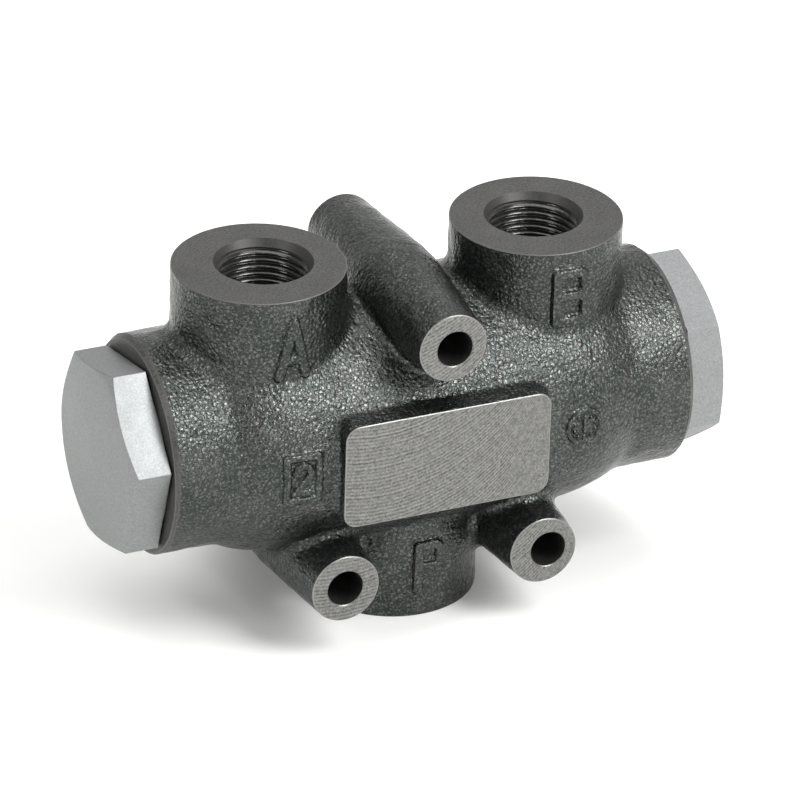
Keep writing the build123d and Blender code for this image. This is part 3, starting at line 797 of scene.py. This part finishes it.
def facingOut(points, faces, way):
    # the faces turned, if need be, so that their mean normal follows the given way
    corner = points[faces]
    normal = np.cross(corner[:, 1] - corner[:, 0], corner[:, 2] - corner[:, 0]).sum(0)
    return faces if normal @ np.array(way) > 0 else faces[:, ::-1]


def makeFaces(name, material, attribute, parts):
    # several grids of rings as one piece; each part is (rings, rims, way out, centre of its tool marks)
    allPoints, allFaces, allRims, allCentres, offset = [], [], [], [], 0
    for rings, rims, way, centre in parts:
        points = np.concatenate(rings)
        allPoints.append(points)
        allFaces.append(facingOut(points, gridFaces(len(rings), faceCut["columns"]), way) + offset)
        allRims.append(np.repeat(rims, faceCut["columns"]))
        allCentres.append(np.tile(np.array(centre) * mm, (len(points), 1)))
        offset += len(points)
    piece = newPiece(name, np.concatenate(allPoints), np.concatenate(allFaces), [material])
    piece.data.set_sharp_from_angle(angle=math.radians(faceCut["sharpAngle"]))
    # each point's rim value is the strength of the painted edge highlight
    piece.data.attributes.new("rim", "FLOAT", "POINT").data.foreach_set(
        "value", np.concatenate(allRims).astype(np.float32))
    piece.data.attributes.new(attribute, "FLOAT_VECTOR", "POINT").data.foreach_set(
        "vector", np.concatenate(allCentres).astype(np.float32).ravel())
    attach(piece, "valve")


milledParts = [(*padFace(), (0, -1, 0), (namePad["cutter"],) * 3)]
for middle, radius, hole, cutter in bossFaces.values():
    for front in (-1, 1):
        milledParts.append((*bossFace(middle, radius, hole, front), (0, front, 0), (cutter,) * 3))
makeFaces("milledFaces", ironMilled, "cutterCentre", milledParts)
turnedParts = [(*portFace(*facts), (0, 0, facts[3]), (facts[1], 0, facts[2])) for facts in portFaces.values()]
for side in (-1, 1):
    turnedParts.append((*endFace(side), (side, 0, 0), (side * valve["endFace"], 0, valve["spoolHeight"])))
makeFaces("turnedFaces", ironTurned, "turnCentre", turnedParts)
print("milled and turned faces are made")


def faceAxis(piece, place):
    # turns a hole's wall over if its first face looks away from the place on the hole's axis
    first = piece.data.polygons[0]
    if first.normal.dot(Vector(place) * mm - first.center) < 0:
        piece.data.flip_normals()


drill = {"columns": 72, "rows": 60, "scoring": 0.008, "pitch": 0.9}


def makeHole(name, x, z):
    # a tube through the body: radius = hole's radius - scoring (1 + cos(turns along the drill's feed)) / 2
    reach = valve["frontFace"] - faceCut["holeEdge"]
    along, angle = np.meshgrid(np.linspace(-reach, reach, drill["rows"]),
                               np.linspace(0, 2 * math.pi, drill["columns"], endpoint=False), indexing="ij")
    score = (1 + np.cos(2 * math.pi * along / drill["pitch"] + angle)) / 2
    radius = valve["holeRadius"] - drill["scoring"] * score
    points = np.stack([x + radius * np.cos(angle), along, z + radius * np.sin(angle)], -1)
    piece = newPiece(name, points.reshape(-1, 3), gridFaces(*along.shape), [ironDrilled])
    faceAxis(piece, (x, 0, z))
    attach(piece, "valve")


for number, place in enumerate(mountingHoles):
    makeHole(f"mountingHole{number + 1}", *place)
print("mounting holes are drilled")


portThread = {"pitch": 1.337, "core": 7.475, "depth": 0.80, "round": 0.45, "mouthDepth": 1.9,
              "wallDepth": 15.0, "threadEnd": 13.4, "runOut": 1.0, "step": 0.10, "columns": 128}


def makeThread(name, x, level, up):
    # radius of angle and depth: the larger of the mouth's cone and a rounded V that climbs one pitch a turn
    look, mouth = portThread, valve["portMouth"]
    rows = int(look["wallDepth"] / look["step"]) + 1
    depth, angle = np.meshgrid(np.linspace(0, look["wallDepth"], rows),
                               np.linspace(0, 2 * math.pi, look["columns"], endpoint=False), indexing="ij")
    turn = depth / look["pitch"] + up * angle / (2 * math.pi)
    ridge = 1 - abs(2 * (turn % 1) - 1)
    ridge = (1 - look["round"]) * ridge + look["round"] * smoothStep(ridge)
    full = smoothStep((look["threadEnd"] - depth) / look["runOut"])
    cone = np.maximum(look["core"], mouth - (mouth - look["core"]) * depth / look["mouthDepth"])
    radius = np.maximum(cone, look["core"] + look["depth"] * ridge * full)
    radius[0] = mouth
    points = np.stack([x + radius * np.cos(angle), radius * np.sin(angle), level - up * depth], -1)
    faces = gridFaces(rows, look["columns"])
    if up > 0:
        faces = faces[:, ::-1]    # so that every quad is split along the thread, whichever way it climbs
    inMouth = np.repeat(depth[:-1, 0] < look["mouthDepth"], look["columns"])
    piece = newPiece(name, points.reshape(-1, 3), faces, [ironTapped, ironSunk], inMouth)
    faceAxis(piece, (x, 0, level))
    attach(piece, "valve")


for port, (middle, x, level, up) in portFaces.items():
    makeThread("thread" + port, x, level, up)
print("threads are cut")


plugEdge = {"width": 0.24, "segments": 2, "angle": 25, "flatAngle": 0.5}


def makePlug(name, node):
    # the CAD plug merged, with every sharp edge broken a little
    points, triangles, normals = readNode(node)
    plug = newPiece(name, points, triangles, [steelPlated])
    plug.data.set_sharp_from_angle(angle=math.radians(plugEdge["angle"]))
    flats = plug.modifiers.new("flats", "DECIMATE")
    flats.decimate_type, flats.angle_limit = "DISSOLVE", math.radians(plugEdge["flatAngle"])
    edge = plug.modifiers.new("brokenEdges", "BEVEL")
    edge.width, edge.segments = plugEdge["width"] * mm, plugEdge["segments"]
    edge.limit_method, edge.angle_limit = "ANGLE", math.radians(plugEdge["angle"])
    edge.harden_normals = True
    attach(plug, "valve")
    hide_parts(node)


makePlug("plugLeft", "end_plug_left")
makePlug("plugRight", "end_plug_right")
print("plugs are made")


springs = {
    # body, node, start and end along the spool axis, turns, joint, fixed end, share of length left
    "springLeft": ("valve", "end_spring_left", -44.3, -33.0, 5, "spool_slide", -44.3, 0.83),
    "springRight": ("valve", "end_spring_right", 33.0, 44.3, 5, "spool_slide", 44.3, 0.83),
    "springCentre": ("left_spool", "centre_spring", -5.0, 5.0, 4, "spool_hook", -5.0, 0.85),
}
coil = {"radius": 6.7, "wire": 0.6, "perTurn": 48, "around": 14, "sharpAngle": 30}


def makeSpring(name, body, node, start, end, turns, joint, fixedEnd, keep):
    # wire circle carried along a helix about the spool axis, the ends ground flat at both seats
    wire = coil["wire"]
    along, girth = np.meshgrid(np.linspace(0, turns, turns * coil["perTurn"] + 1),
                               np.linspace(0, 2 * math.pi, coil["around"], endpoint=False), indexing="ij")
    angle = 2 * math.pi * along
    out = coil["radius"] + wire * np.cos(girth)
    x = start + (end - start) * along / turns + wire * np.sin(girth)
    points = np.stack([np.clip(x, start, end), -out * np.cos(angle),
                       valve["spoolHeight"] + out * np.sin(angle)], -1)
    quads = gridFaces(*along.shape)
    fan = np.arange(1, coil["around"] - 1)    # closes the wire's two cut ends
    firstEnd = np.stack([0 * fan, fan + 1, fan], 1)
    lastEnd = np.stack([0 * fan, fan, fan + 1], 1) + along.size - coil["around"]
    triangles = np.concatenate([quads[:, [0, 1, 2]], quads[:, [0, 2, 3]], firstEnd, lastEnd])
    piece = newPiece(name, points.reshape(-1, 3), triangles, [inner["oiled drawn spring steel"]])
    piece.data.set_sharp_from_angle(angle=math.radians(coil["sharpAngle"]))
    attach(piece, body)
    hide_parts(node)
    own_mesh(piece)


for name, facts in springs.items():
    makeSpring(name, *facts)

finishes = {
    "plug_seal": "moulded nitrile rubber", "adjusting_shim": "hardened ground steel",
    "spring_plate": "turned free-cutting steel", "half_spool": "hardened ground steel",
    "orifice_disc": "turned free-cutting steel", "retaining_ring": "oiled drawn spring steel",
}
for start, finish in finishes.items():
    for side in ("_left", "_right"):
        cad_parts[start + side].material_slots[0].material = inner[finish]
print("inner pieces are dressed")
